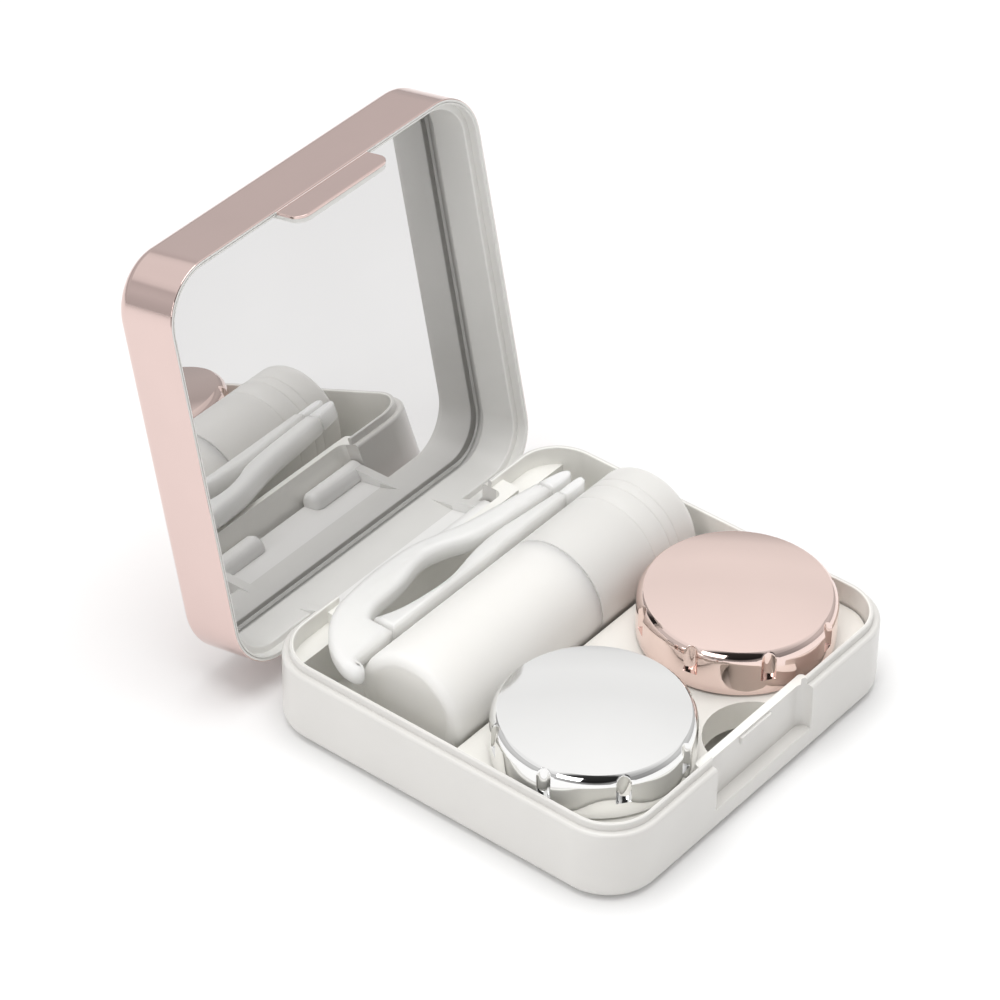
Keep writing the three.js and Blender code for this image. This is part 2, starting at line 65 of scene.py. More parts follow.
_, (HALF_X, HALF_Y, LIP_TOP_Z) = box_mm("base_tray")
HINGE = next(j for j in frame["record"]["behaviour"]["joints"] if j["name"] == "lid_hinge")
HINGE_Y = HINGE["pos_m"][1] / MM
HINGE_Z = HINGE["pos_m"][2] / MM
OPEN_ANGLE = math.radians(-min(HINGE["range_deg"]))
OPEN_LID = (
    Matrix.Translation((0, HINGE_Y, HINGE_Z))
    @ Matrix.Rotation(-OPEN_ANGLE, 4, "X")
    @ Matrix.Translation((0, -HINGE_Y, -HINGE_Z))
)

# sizes shared with the CAD model (mm)
CORNER_R = 8.3
EDGE_R = 2.0
LEDGE_Z = 11.95
RIM_Z = 12.1
LID_TOP_Z = 22.75
CORNER_STEPS = 20

# distances under which doubled points are merged (m)
SAME_POINT = 1e-7
SAME_SEAM = 2e-6

# ---------------------------------------------------------------- mesh helpers


def outline(inset, half_x=HALF_X, half_y=HALF_Y, corner=CORNER_R, steps=CORNER_STEPS):
    """A rounded rectangle, anticlockwise, as (x, y) points."""
    radius = max(corner - inset, 0.05)
    hx, hy = half_x - inset, half_y - inset
    points = []
    for quarter, (sx, sy) in enumerate(((1, -1), (1, 1), (-1, 1), (-1, -1))):
        for i in range(steps + 1):
            angle = (quarter - 1 + i / steps) * math.pi / 2
            points.append((
                sx * (hx - radius) + radius * math.cos(angle),
                sy * (hy - radius) + radius * math.sin(angle),
            ))
    return points


def arc(cx, cy, radius, start, end, steps):
    """Points of an arc, angles in degrees."""
    angles = [math.radians(start + (end - start) * i / steps) for i in range(steps + 1)]
    return [(cx + radius * math.cos(a), cy + radius * math.sin(a)) for a in angles]


def edge_arc(inset, z, radius, start, end, steps):
    """Arc points as (inset, z), where angle 0 faces out of the case."""
    return [(inset - x, level) for x, level in arc(0, z, radius, start, end, steps)]


def add_object(name, data):
    obj = bpy.data.objects.new(name, data)
    bpy.context.scene.collection.objects.link(obj)
    return obj


def close_seams(mesh, distance):
    """Merges doubled points and turns the faces outward."""
    bm = bmesh.new()
    bm.from_mesh(mesh)
    bmesh.ops.remove_doubles(bm, verts=bm.verts, dist=distance)
    bmesh.ops.recalc_face_normals(bm, faces=bm.faces)
    bm.to_mesh(mesh)
    bm.free()


def new_object(name, verts, faces, matrix=None):
    """A mesh object from millimetre coordinates, with outward faces."""
    matrix = matrix or Matrix.Identity(4)
    mesh = bpy.data.meshes.new(name)
    mesh.from_pydata([(matrix @ Vector(v)) * MM for v in verts], [], faces)
    close_seams(mesh, SAME_POINT)
    return add_object(name, mesh)


def stack(name, rings, closed_loop=False, matrix=None):
    """Skins a list of equal rings of points. The ends are capped, or joined when closed_loop."""
    count = len(rings[0])
    verts = [v for ring in rings for v in ring]
    faces = []
    pairs = len(rings) if closed_loop else len(rings) - 1
    for k in range(pairs):
        a, b = k * count, ((k + 1) % len(rings)) * count
        for i in range(count):
            j = (i + 1) % count
            faces.append((a + i, a + j, b + j, b + i))
    if not closed_loop:
        faces.append(tuple(range(count)))
        faces.append(tuple((len(rings) - 1) * count + i for i in range(count)))
    return new_object(name, verts, faces, matrix)


def case_sweep(name, profile, closed_loop=False, matrix=None):
    """Sweeps a profile of (inset, z) points round the case outline."""
    rings = [[(x, y, z) for x, y in outline(inset)] for inset, z in profile]
    return stack(name, rings, closed_loop, matrix)


def lathe(name, profile, segments=128, matrix=None, closed_loop=False):
    """Turns a profile of (radius, z) points about Z."""
    rings = []
    for radius, z in profile:
        radius = max(radius, 0.002)
        rings.append([
            (radius * math.cos(2 * math.pi * i / segments), radius * math.sin(2 * math.pi * i / segments), z)
            for i in range(segments)
        ])
    return stack(name, rings, closed_loop, matrix)


def plate(name, points, low, high, matrix=None):
    """A straight prism of an (x, y) outline between two z levels."""
    return stack(name, [[(x, y, low) for x, y in points], [(x, y, high) for x, y in points]], matrix=matrix)


def rect(x0, x1, y0, y1, radius=0.0, steps=8):
    """A rectangle, with rounded corners when a radius is given."""
    if radius <= 0:
        return [(x0, y0), (x1, y0), (x1, y1), (x0, y1)]
    mid_x, mid_y = (x0 + x1) / 2, (y0 + y1) / 2
    shape = outline(0, (x1 - x0) / 2, (y1 - y0) / 2, radius, steps)
    return [(x + mid_x, y + mid_y) for x, y in shape]


def bake(obj):
    """Applies every modifier of obj."""
    graph = bpy.context.evaluated_depsgraph_get()
    mesh = bpy.data.meshes.new_from_object(obj.evaluated_get(graph))
    obj.modifiers.clear()
    obj.data = mesh
    return obj


def combine(obj, other, operation):
    """Boolean of two solids. The second one is used up."""
    modifier = obj.modifiers.new("combine", "BOOLEAN")
    modifier.operation = operation
    modifier.solver = "EXACT"
    modifier.object = other
    bake(obj)
    bpy.data.objects.remove(other)
    return obj


def join_all(obj, *others):
    for other in others:
        combine(obj, other, "UNION")
    return obj


def cut_all(obj, *others):
    for other in others:
        combine(obj, other, "DIFFERENCE")
    return obj


def soften(obj, width, segments=3, angle=38):
    """Rounds the sharp edges of a boolean result by width mm."""
    bevel = obj.modifiers.new("round", "BEVEL")
    bevel.width = width * MM
    bevel.segments = segments
    bevel.limit_method = "ANGLE"
    bevel.angle_limit = math.radians(angle)
    bevel.use_clamp_overlap = True
    bevel.harden_normals = True
    obj.data.shade_smooth()
    weighted = obj.modifiers.new("weighted", "WEIGHTED_NORMAL")
    weighted.keep_sharp = True
    return obj


def smooth(obj, angle=32):
    """Shades obj smooth, apart from edges sharper than the angle in degrees."""
    obj.data.shade_smooth()
    obj.data.set_sharp_from_angle(angle=math.radians(angle))
    return obj


def finish_piece(obj, material, body, *nodes, slot=None):
    """Gives a piece its material, the body it moves with and the CAD nodes it stands for."""
    obj.data.materials.clear()
    obj.data.materials.append(material)
    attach(obj, body)
    if nodes:
        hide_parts(*nodes)
    return obj


def scaled(matrix):
    """A millimetre transform for mesh data that is already in metres."""
    result = matrix.copy()
    result.translation *= MM
    return result


def inset_of(x, y):
    """How far a point lies inside the case outline, in mm."""
    corner = math.hypot(max(abs(x) - HALF_X + CORNER_R, 0), max(abs(y) - HALF_Y + CORNER_R, 0))
    return min(HALF_X - abs(x), HALF_Y - abs(y), CORNER_R - corner)


def paint_faces(obj, material, test, matrix=None):
    """Gives a second material to faces whose middle, as it was before matrix moved it, passes the test."""
    obj.data.materials.append(material)
    back = scaled(matrix).inverted() if matrix else Matrix.Identity(4)
    for polygon in obj.data.polygons:
        x, y, z = [v / MM for v in back @ polygon.center]
        if test(x, y, z):
            polygon.material_index = 1


# ---------------------------------------------------------------- materials


def shade(name, color, roughness, metallic=0.0, *, tint=0.03, grain=0.04, bump=0.02,
          scale=90.0, fine=900.0, **sockets):
    """A Principled material with slow colour change, uneven gloss and a fine moulded surface."""
    material = bpy.data.materials.new(name)
    material.use_nodes = True
    nodes, links = material.node_tree.nodes, material.node_tree.links
    shader = nodes["Principled BSDF"]
    shader.inputs["Metallic"].default_value = metallic
    for key, value in sockets.items():
        shader.inputs[key.replace("_", " ").title().replace("Ior", "IOR")].default_value = value
    if "subsurface_weight" in sockets:
        shader.inputs["Subsurface Radius"].default_value = (1.0, 1.0, 1.0)

    where = nodes.new("ShaderNodeTexCoord")
    slow = nodes.new("ShaderNodeTexNoise")
    slow.inputs["Scale"].default_value = scale
    slow.inputs["Detail"].default_value = 3
    links.new(where.outputs["Object"], slow.inputs["Vector"])
    ramp = nodes.new("ShaderNodeValToRGB")
    ramp.color_ramp.elements[0].position = 0.3
    ramp.color_ramp.elements[1].position = 0.7
    ramp.color_ramp.elements[0].color = (*[c * (1 - tint) for c in color], 1)
    ramp.color_ramp.elements[1].color = (*color, 1)
    links.new(slow.outputs["Fac"], ramp.inputs["Fac"])
    links.new(ramp.outputs["Color"], shader.inputs["Base Color"])

    gloss = nodes.new("ShaderNodeMapRange")
    gloss.inputs["To Min"].default_value = max(roughness - grain, 0.0)
    gloss.inputs["To Max"].default_value = roughness + grain
    links.new(slow.outputs["Fac"], gloss.inputs["Value"])
    links.new(gloss.outputs["Result"], shader.inputs["Roughness"])

    skin = nodes.new("ShaderNodeTexNoise")
    skin.inputs["Scale"].default_value = fine
    skin.inputs["Detail"].default_value = 2
    links.new(where.outputs["Object"], skin.inputs["Vector"])
    relief = nodes.new("ShaderNodeBump")
    relief.inputs["Strength"].default_value = bump
    relief.inputs["Distance"].default_value = 0.0001
    links.new(skin.outputs["Fac"], relief.inputs["Height"])
    links.new(relief.outputs["Normal"], shader.inputs["Normal"])
    return material


# white_abs and the copy under it are shaded and lit copies of one tray plastic: the lighter copy is painted
# light on the tray's inside faces
white_abs = shade("white_abs", (0.76, 0.745, 0.718), 0.3, coat_weight=0.25, coat_roughness=0.12)
tray_inside_painted_light = shade("tray_inside_painted_light", (0.955, 0.945, 0.905), 0.32, coat_weight=0.2, coat_roughness=0.15)
liner_white = shade("liner_white", (0.82, 0.813, 0.788), 0.32, coat_weight=0.2, coat_roughness=0.15)
# a lighter copy of the liner's white: painted light that brightens the hinge tongue, barrels and gussets
hinge_painted_light = shade("hinge_painted_light", (0.95, 0.945, 0.93), 0.32, coat_weight=0.2, coat_roughness=0.15)
case_white = shade("case_white", (0.9, 0.885, 0.84), 0.35, coat_weight=0.15, coat_roughness=0.2)
rose_plate = shade("rose_plate", (0.745, 0.585, 0.55), 0.09, 1.0, tint=0.03, grain=0.015, bump=0.008)
rose_chrome = shade("rose_chrome", (0.86, 0.69, 0.64), 0.06, 1.0, tint=0.02, grain=0.01, bump=0.003)
silver_chrome = shade("silver_chrome", (0.88, 0.88, 0.875), 0.045, 1.0, tint=0.02, grain=0.01, bump=0.003)
mirror_silver = shade("mirror_silver", (0.745, 0.74, 0.74), 0.008, 1.0,
                      tint=0.06, grain=0.004, bump=0.0, scale=14.0)
frosted = shade("frosted_bottle", (0.845, 0.834, 0.808), 0.4, tint=0.012, ior=1.4,
                subsurface_weight=1.0, subsurface_scale=0.005, specular_ior_level=0.4)
frosted_cap = shade("frosted_cap", (0.765, 0.755, 0.732), 0.4, tint=0.012, ior=1.4,
                    subsurface_weight=1.0, subsurface_scale=0.0012, specular_ior_level=0.4)
milky = shade("milky_tweezers", (0.935, 0.925, 0.89), 0.3, tint=0.02, ior=1.45,
              subsurface_weight=1.0, subsurface_scale=0.006, coat_weight=0.3, coat_roughness=0.2)
soft_clear = shade("soft_clear_tip", (0.97, 0.96, 0.93), 0.25, tint=0.02, ior=1.42,
                   subsurface_weight=1.0, subsurface_scale=0.003)
soft_seal = shade("soft_seal", (0.8, 0.83, 0.82), 0.55)
foam = shade("foam_pad", (0.75, 0.75, 0.72), 0.85, bump=0.3, fine=2500.0)
steel = shade("pin_steel", (0.62, 0.63, 0.65), 0.22, 1.0)

# ---------------------------------------------------------------- base tray

LIP_OUTER, LIP_INNER = 1.05, 1.7
FLOOR_Z = 1.6
JOG_WALL = 1.3
RECESS_X, RECESS_Y, RECESS_FLOOR = 11.1, -30.25, 4.4
NOTCH_X, NOTCH_Y, NOTCH_FLOOR, CHEEK = 17.2, 28.4, 3.6, 2.6
CORNER_LEDGE_Y, CORNER_LEDGE_Z = 27.4, 10.0
RIDGE_X, RIDGE_LOW, RIDGE_HIGH = 3.5, 10.4, 11.5
LEDGE_R, LIP_R, FLOOR_R = 0.55, 0.22, 0.8
BLOCK_LOW, BLOCK_R = 0.8, 0.7
CUT_OUT, CUT_TOP, CUT_SIDE = 6, 20, 40  # the cutting solids' reach, top level and half width


def tray_solid(name, top):
    """The tray's outer body with its rounded lower edge, filled up to a level."""
    return case_sweep(name, edge_arc(EDGE_R, EDGE_R, EDGE_R, -90, 0, 8) + [(0, top)])


def make_tray():
    profile = edge_arc(EDGE_R, EDGE_R, EDGE_R, -90, 0, 8)
    profile += edge_arc(LEDGE_R, LEDGE_Z - LEDGE_R, LEDGE_R, 0, 90, 6)
    profile += [(LIP_OUTER - 0.05, LEDGE_Z), (LIP_OUTER, LEDGE_Z + 0.05)]
    profile += edge_arc(LIP_OUTER + LIP_R, LIP_TOP_Z - LIP_R, LIP_R, 0, 90, 4)
    profile += arc(LIP_INNER - LIP_R, LIP_TOP_Z - LIP_R, LIP_R, 90, 0, 4)
    profile += edge_arc(LIP_INNER + FLOOR_R, FLOOR_Z + FLOOR_R, FLOOR_R, 0, -90, 5)
    tray = case_sweep("base_tray_look", profile)

    front = plate("front_block", rect(
        -RECESS_X - JOG_WALL, RECESS_X + JOG_WALL, -HALF_Y + 0.9, RECESS_Y + JOG_WALL, BLOCK_R,
    ), BLOCK_LOW, LEDGE_Z)
    rear = plate("rear_block", rect(
        -NOTCH_X - CHEEK, NOTCH_X + CHEEK, NOTCH_Y - JOG_WALL, HALF_Y - 0.6, BLOCK_R,
    ), BLOCK_LOW, LEDGE_Z)
    corner_ledge = tray_solid("corner_ledge", CORNER_LEDGE_Z)
    rear_slab = plate("rear_slab", rect(-CUT_SIDE, CUT_SIDE, CORNER_LEDGE_Y, CUT_SIDE), 1.0, 15)
    combine(corner_ledge, rear_slab, "INTERSECT")
    recess_shape = rect(-RECESS_X, RECESS_X, -HALF_Y - CUT_OUT, RECESS_Y, 1.5)
    recess = plate("recess", recess_shape, RECESS_FLOOR, CUT_TOP)
    notch_shape = rect(-NOTCH_X, NOTCH_X, NOTCH_Y, HALF_Y + CUT_OUT, 1.2)
    notch = plate("notch", notch_shape, NOTCH_FLOOR, CUT_TOP)
    join_all(tray, front, rear, corner_ledge)
    cut_all(tray, recess, notch)
    ridge_shape = rect(-RIDGE_X, RIDGE_X, RECESS_Y - 0.4, RECESS_Y + 0.3, 0.2, 4)
    ridge = plate("ridge", ridge_shape, RIDGE_LOW, RIDGE_HIGH)
    join_all(tray, ridge)
    bake(soften(tray, 0.14, 2))
    finish_piece(tray, white_abs, "base", "base_tray")
    # painted light: the tray's inside faces get the lighter copy of the plastic, so the inside looks
    # brighter than the outer walls
    paint_faces(tray, tray_inside_painted_light, lambda x, y, z: (
        inset_of(x, y) > LIP_INNER - 0.2 and z > 1.0
        and not (y < RECESS_Y + 0.1 and abs(x) < RECESS_X + 0.1)
    ))


make_tray()

# ---------------------------------------------------------------- lid

SHELL_WALL, SHELL_BACK = 0.5, 0.9
SHELL_RIM_R, SHELL_INNER_R = 0.15, 1.2
TAB_X, TAB_END, TAB_FRONT, TAB_SKIN, TAB_BACK = 9.7, 7.5, -HALF_Y + 0.25, 0.45, 0.65
TAB_R = 2
ON_END = Matrix.Rotation(math.pi / 2, 4, "X")


def tab_plate(name, half_x, end_z, y0, y1, top_z):
    """A plate in the XZ plane between two y levels, with two rounded lower corners."""
    points = arc(-half_x + TAB_R, end_z + TAB_R, TAB_R, 180, 270, 8)
    points += arc(half_x - TAB_R, end_z + TAB_R, TAB_R, 270, 360, 8)
    points += [(half_x, top_z), (-half_x, top_z)]
    return plate(name, points, -y1, -y0, ON_END)


def inside_shell(x, y, z):
    """True on the shell's inner side and on its rim, in the closed lid."""
    if z < RIM_Z - 0.2:
        return y > TAB_FRONT + TAB_SKIN - 0.05
    inset = inset_of(x, y)
    from_edge = math.hypot(max(EDGE_R - inset, 0), max(z - LID_TOP_Z + EDGE_R, 0))
    return inset > 0.2 and from_edge < EDGE_R - 0.2


def make_shell():
    profile = edge_arc(EDGE_R, LID_TOP_Z - EDGE_R, EDGE_R, 90, 0, 10)
    profile += edge_arc(SHELL_RIM_R, RIM_Z + SHELL_RIM_R, SHELL_RIM_R, 0, -90, 3)
    profile += [(SHELL_WALL, RIM_Z)]
    top = LID_TOP_Z - SHELL_BACK
    profile += edge_arc(SHELL_WALL + SHELL_INNER_R, top - SHELL_INNER_R, SHELL_INNER_R, 0, 90, 6)
    shell = case_sweep("lid_shell_look", profile)
    tab = tab_plate("tab", TAB_X, TAB_END, TAB_FRONT, TAB_FRONT + TAB_SKIN, RIM_Z + 0.4)
    join_all(shell, tab)
    shell.data.transform(scaled(OPEN_LID))
    bake(soften(shell, 0.12, 2))
    finish_piece(shell, rose_plate, "lid", "lid_shell")
    paint_faces(shell, liner_white, inside_shell, OPEN_LID)


make_shell()

LINER_OUT = SHELL_WALL + 0.06
REBATE, REBATE_Z = 0.85, 13.5
LINER_IN, LINER_TOP = 1.9, 19.5
TONGUE_X, TONGUE_Y, TONGUE_END = 16.8, 31.0, 6.4
BARREL_R, BARREL_IN, BARREL_OUT = 1.9, 5.8, 16.8
GUSSET, GUSSET_TOP, WINDOW_TOP = 1.5, 16, 17.6
STEP_R, LINER_TOP_R = 0.25, 0.2


def barrel(side):
    """One of the two hinge barrels, on the pin's axis."""
    profile = [(0, 0), (1.0, 0), (1.5, 0.25), (BARREL_R, 0.9), (BARREL_R, BARREL_OUT - BARREL_IN),
               (0, BARREL_OUT - BARREL_IN)]
    turn = Matrix.Rotation(side * math.pi / 2, 4, "Y")
    return lathe("barrel", profile, 48, Matrix.Translation((side * BARREL_IN, HINGE_Y, HINGE_Z)) @ turn)


def wedge(name, x0, x1, section):
    """A prism along X of (y, z) points."""
    return stack(name, [[(x, y, z) for y, z in section] for x in (x0, x1)])


def gusset(side):
    """The rib that joins the tongue to the barrel."""
    x0 = TONGUE_X - GUSSET if side > 0 else -TONGUE_X
    return wedge("gusset", x0, x0 + GUSSET, [
        (TONGUE_Y + 0.3, HINGE_Z), (TONGUE_Y + 0.3, GUSSET_TOP), (HALF_Y - LINER_IN, GUSSET_TOP),
        (HINGE_Y - BARREL_R + 0.25, HINGE_Z + 0.6),
    ])


def make_liner():
    edge = 0.12
    profile = [(LINER_OUT, RIM_Z), (REBATE - edge, RIM_Z), (REBATE, RIM_Z + edge), (REBATE, REBATE_Z)]
    profile += arc(LINER_IN - STEP_R, REBATE_Z + STEP_R, STEP_R, -90, 0, 4)
    profile += arc(LINER_IN - LINER_TOP_R, LINER_TOP - LINER_TOP_R, LINER_TOP_R, 0, 90, 3)
    profile += [(LINER_OUT, LINER_TOP)]
    liner = case_sweep("lid_liner_look", profile, closed_loop=True)
    window = wedge("window", -TONGUE_X + GUSSET, TONGUE_X - GUSSET, [
        (20, RIM_Z - 1), (TONGUE_Y, RIM_Z - 1), (TONGUE_Y, REBATE_Z),
        (HALF_Y - LINER_IN, WINDOW_TOP), (20, WINDOW_TOP),
    ])
    cut_all(liner, window)
    tongue = plate("tongue", rect(-TONGUE_X, TONGUE_X, TONGUE_Y, HALF_Y - LINER_OUT), TONGUE_END, RIM_Z + 2)
    skin = plate("skin", rect(-TONGUE_X, TONGUE_X, TONGUE_Y + 0.1, HALF_Y), TONGUE_END, RIM_Z - 0.06)
    lining_y = TAB_FRONT + TAB_SKIN + 0.06
    lining = tab_plate("lining", TAB_X - 0.2, TAB_END + 0.1, lining_y, lining_y + TAB_BACK, RIM_Z + 1.2)
    relief = plate("relief", rect(-TAB_X - 0.1, TAB_X + 0.1, -HALF_Y - 1, lining_y), RIM_Z - 1, RIM_Z + 0.46)
    cut_all(liner, relief)
    join_all(liner, tongue, skin, lining, barrel(-1), barrel(1), gusset(-1), gusset(1))
    liner.data.transform(scaled(OPEN_LID))
    bake(soften(liner, 0.1, 2))
    finish_piece(liner, liner_white, "lid", "lid_liner")
    # painted light: the liner's faces below the rim, at the hinge side, get the lighter copy of its white
    paint_faces(liner, hinge_painted_light, lambda x, y, z: z < RIM_Z - 0.1 and y > 0, OPEN_LID)


make_liner()

MIRROR_INSET, MIRROR_FACE, MIRROR_THICK = 1.15, 20.65, 0.75


def make_mirror():
    profile = [
        (MIRROR_INSET + 0.95, MIRROR_FACE), (MIRROR_INSET, MIRROR_FACE + 0.3),
        (MIRROR_INSET, MIRROR_FACE + MIRROR_THICK - 0.1), (MIRROR_INSET + 0.1, MIRROR_FACE + MIRROR_THICK),
    ]
    glass = case_sweep("mirror_look", profile)
    glass.data.transform(scaled(OPEN_LID))
    smooth(glass, 10)
    return finish_piece(glass, mirror_silver, "lid", "mirror")


make_mirror()

# ---------------------------------------------------------------- screw caps

CAP_R, CAP_WALL, CAP_BASE, CAP_SHOULDER, CAP_ROUND, CAP_CROWN = 14.4, 1.0, 9.6, 14.95, 2.2, 17.5
CAP_CEILING = 16.2
NOTCHES, NOTCH_PHASE, NOTCH_RADIUS, NOTCH_REACH, NOTCH_LOW = 8, math.radians(9.3), 1.25, 14.95, 12.2
NOTCH_FROM_R = 13.0  # the notches cut only profile points farther out than this
NO_NOTCH = 99.0  # a radius larger than any on the cap
BETWEEN = 9.0  # marks an angle that lies between notches


def scallop(offset):
    """Distance from the cap's axis to a grip notch's floor, at an angle away from its middle."""
    side = NOTCH_REACH * math.sin(offset)
    if abs(side) >= NOTCH_RADIUS:
        return NO_NOTCH
    return NOTCH_REACH * math.cos(offset) - math.sqrt(NOTCH_RADIUS ** 2 - side ** 2)


def cap_angles():
    """(angle, offset from the notch's middle) pairs round the cap, closely spaced in the notches."""
    sector = 2 * math.pi / NOTCHES
    half = math.acos((NOTCH_REACH ** 2 + CAP_R ** 2 - NOTCH_RADIUS ** 2) / (2 * NOTCH_REACH * CAP_R))
    angles = []
    for k in range(NOTCHES):
        middle = NOTCH_PHASE + k * sector
        angles += [(middle + half * (i / 8 - 1), half * (i / 8 - 1)) for i in range(17)]
        rest = sector - 2 * half
        angles += [(middle + half + rest * (i / 12), BETWEEN) for i in range(1, 12)]
    return angles


def make_cap(name, centre, material, body, node):
    wall = [(CAP_R, CAP_BASE + 0.25 + (NOTCH_LOW - CAP_BASE - 0.45) * t) for t in (0, 0.5, 1)]
    wall += [(CAP_R, NOTCH_LOW - 0.02), (CAP_R, NOTCH_LOW + 0.02)]
    wall += [(CAP_R, NOTCH_LOW + (CAP_SHOULDER - NOTCH_LOW) * t) for t in (0.1, 0.4, 0.7)]
    shoulder = arc(CAP_R - CAP_ROUND, CAP_SHOULDER, CAP_ROUND, 0, 55, 14)
    crease_r, crease_z = shoulder[-1]
    crown = [(crease_r * t, CAP_CROWN - (CAP_CROWN - crease_z) * t * t)
             for t in (0.995, 0.97, 0.9, 0.8, 0.7, 0.6, 0.5, 0.4, 0.3, 0.2, 0.1, 0.03)]
    outer = [(CAP_R - 0.25, CAP_BASE), (CAP_R - 0.07, CAP_BASE + 0.07)] + wall + shoulder + crown
    inner = [(CAP_R - CAP_WALL, CAP_BASE), (CAP_R - CAP_WALL, CAP_CEILING), (0.01, CAP_CEILING)]
    profile = list(reversed(inner)) + outer
    rings = []
    for radius, z in profile:
        ring = []
        for angle, offset in cap_angles():
            r = radius
            if z > NOTCH_LOW and radius > NOTCH_FROM_R and offset < BETWEEN:
                r = min(radius, scallop(offset))
            ring.append((r * math.cos(angle) + centre[0], r * math.sin(angle) + centre[1], z))
        rings.append(ring)
    cap = stack(name, rings)
    smooth(cap, 28)
    return finish_piece(cap, material, body, node)


def centre_of(node):
    low, high = box_mm(node)
    return [(a + b) / 2 for a, b in zip(low, high)]


make_cap("silver_cap_look", centre_of("left_cap_silver"), silver_chrome, "left_cap", "left_cap_silver")
make_cap("rose_cap_look", centre_of("right_cap_rose"), rose_chrome, "right_cap", "right_cap_rose")

# ---------------------------------------------------------------- bottle

BOTTLE_R, NECK_R = 8.85, 6.9
BODY_LOW, BODY_HIGH = box_mm("bottle_body")
BCAP_LOW, BCAP_HIGH = box_mm("bottle_cap")
BOTTLE_BASE_X = BODY_LOW[0]
BOTTLE_SEAM = BCAP_LOW[0] - 0.5 - BOTTLE_BASE_X
BOTTLE_END = BCAP_HIGH[0] - BOTTLE_BASE_X
NECK_END = BODY_HIGH[0] - BOTTLE_BASE_X
_, BOTTLE_Y, BOTTLE_Z = centre_of("bottle_body")
LAID = Matrix.Translation((BOTTLE_BASE_X, BOTTLE_Y, BOTTLE_Z)) @ Matrix.Rotation(math.pi / 2, 4, "Y")
SEAM_GAP = 0.15
GROOVES, GROOVE_HALF, GROOVE_DEEP = (10.1, 6.5, 4.6), 0.3, 0.14  # places are measured from the cap's end
CAP_END_WALL, CAP_END_R = 1.2, 1.5


def ring_bumps(profile_r, z_values, height, width):
    """Raised bands round a straight wall, as profile points."""
    points = []
    for z in z_values:
        for t in (-1, -0.6, 0, 0.6, 1):
            points.append((profile_r + height * (1 - t * t), z + width * t))
    return points


def make_bottle():
    body = [(0, 0.5), (BOTTLE_R - 2.6, 0.5), (BOTTLE_R - 2.2, 0.35), (BOTTLE_R - 1.6, 0)]
    body += arc(BOTTLE_R - 1.2, 1.2, 1.2, -75, 0, 8)
    body += arc(BOTTLE_R - 0.12, BOTTLE_SEAM - 0.12, 0.12, 0, 85, 3)
    body += [(NECK_R, BOTTLE_SEAM + 0.1)]
    body += ring_bumps(NECK_R, (BOTTLE_SEAM + 2.0, BOTTLE_SEAM + 4.2, BOTTLE_SEAM + 6.4), 0.36, 0.5)
    body += [(NECK_R, NECK_END), (0, NECK_END)]
    shell = lathe("bottle_body_look", body, 128, LAID)
    smooth(shell, 35)
    finish_piece(shell, frosted, "bottle", "bottle_body")

    bore = BOTTLE_R - 1.2
    start = BOTTLE_SEAM + SEAM_GAP
    cap = [(bore, start), (BOTTLE_R - 0.1, start), (BOTTLE_R, start + 0.1)]
    for groove in GROOVES:
        middle = BOTTLE_END - groove
        cap += [(BOTTLE_R, middle - GROOVE_HALF), (BOTTLE_R - GROOVE_DEEP, middle),
                (BOTTLE_R, middle + GROOVE_HALF)]
    cap += arc(BOTTLE_R - CAP_END_R, BOTTLE_END - CAP_END_R, CAP_END_R, 0, 85, 10)
    cap += [(0, BOTTLE_END), (0, BOTTLE_END - CAP_END_WALL), (bore, BOTTLE_END - CAP_END_WALL)]
    cover = lathe("bottle_cap_look", cap, 128, LAID, closed_loop=True)
    smooth(cover, 35)
    finish_piece(cover, frosted_cap, "bottle_cap", "bottle_cap")


make_bottle()

# ---------------------------------------------------------------- tweezers

(_, _, ARM_LOW), (TIP_X, _, ARM_HIGH) = box_mm("tweezers_rear_arm")
TIP_STEP = 0.3  # how much thinner the soft tips are than the arms, on each side


def spline(points, steps=6):
    """Catmull-Rom points through the given ones."""
    result = []
    for i in range(len(points) - 1):
        p0 = points[max(i - 1, 0)]
        p1, p2 = points[i], points[i + 1]
        p3 = points[min(i + 2, len(points) - 1)]
        for k in range(steps):
            t = k / steps
            result.append(tuple(
                0.5 * (2 * b + (c - a) * t + (2 * a - 5 * b + 4 * c - d) * t * t
                       + (3 * b - a - 3 * c + d) * t ** 3)
                for a, b, c, d in zip(p0, p1, p2, p3)
            ))
    result.append(points[-1])
    return result


def flat_piece(name, points, low, high, rounding, material, body, node):
    """A flat moulding: an outline between two levels, with rounded top and bottom edges."""
    curve = bpy.data.curves.new(name, "CURVE")
    curve.dimensions = "2D"
    curve.fill_mode = "BOTH"
    line = curve.splines.new("POLY")
    line.points.add(len(points) - 1)
    for point, (x, y) in zip(line.points, points):
        point.co = (x * MM, y * MM, 0, 1)
    line.use_cyclic_u = True
    curve.extrude = ((high - low) / 2 - rounding) * MM
    curve.bevel_depth = rounding * MM
    curve.bevel_resolution = 5
    curve.offset = -rounding * MM
    source = add_object(name + "_curve", curve)
    graph = bpy.context.evaluated_depsgraph_get()
    mesh = bpy.data.meshes.new_from_object(source.evaluated_get(graph))
    mesh.transform(Matrix.Translation((0, 0, (low + high) / 2 * MM)))
    bpy.data.objects.remove(source)
    close_seams(mesh, SAME_SEAM)
    obj = add_object(name, mesh)
    smooth(obj, 50)
    return finish_piece(obj, material, body, node)
